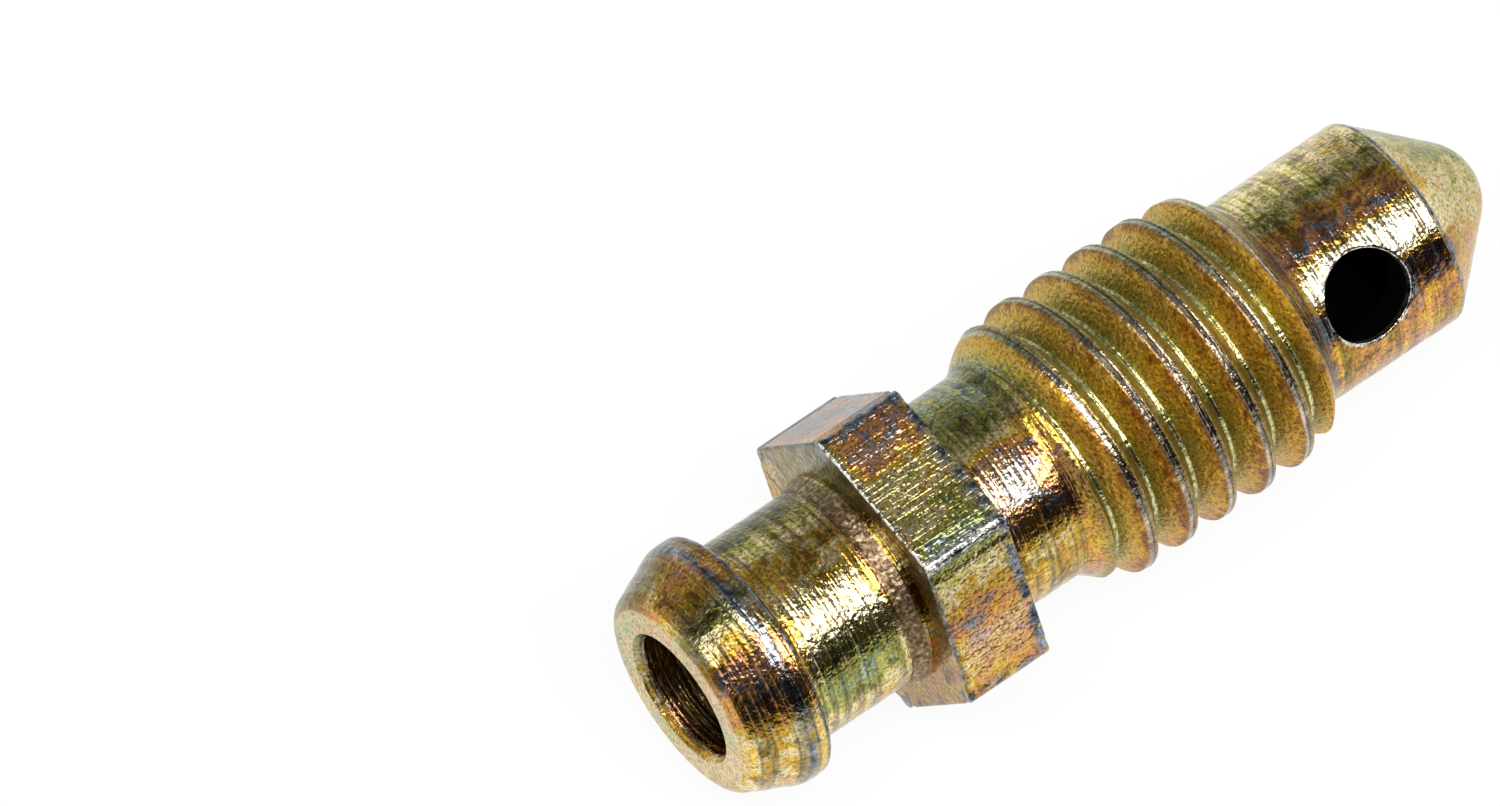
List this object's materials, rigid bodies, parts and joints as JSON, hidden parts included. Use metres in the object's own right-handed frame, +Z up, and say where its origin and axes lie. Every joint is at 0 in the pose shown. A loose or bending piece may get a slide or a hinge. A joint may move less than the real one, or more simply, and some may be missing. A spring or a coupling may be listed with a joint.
{
  "type": "bleeder screw",
  "caption": "Hollow bleeder screw with a barbed hose nipple, wrench hexagon, rolled thread, cross-drilled nose and conical seat.",
  "frame": {"origin": "on the ground, under the middle of the screw's length and width", "axes": "+X along the screw's axis, from the hose nipple's end face to the sealing cone; +Z up, out of the upper flat of the hexagon; +Y to the left of +X"},
  "size_m": [0.0252, 0.0088, 0.0077],
  "materials": {
    "zinc_plated_steel": "turned steel, zinc plated with a yellow chromate, iridescent from gold to olive and rose"
  },
  "bodies": {
    "root": {"bleeder_screw": "zinc_plated_steel"}
  },
  "joints": []
}
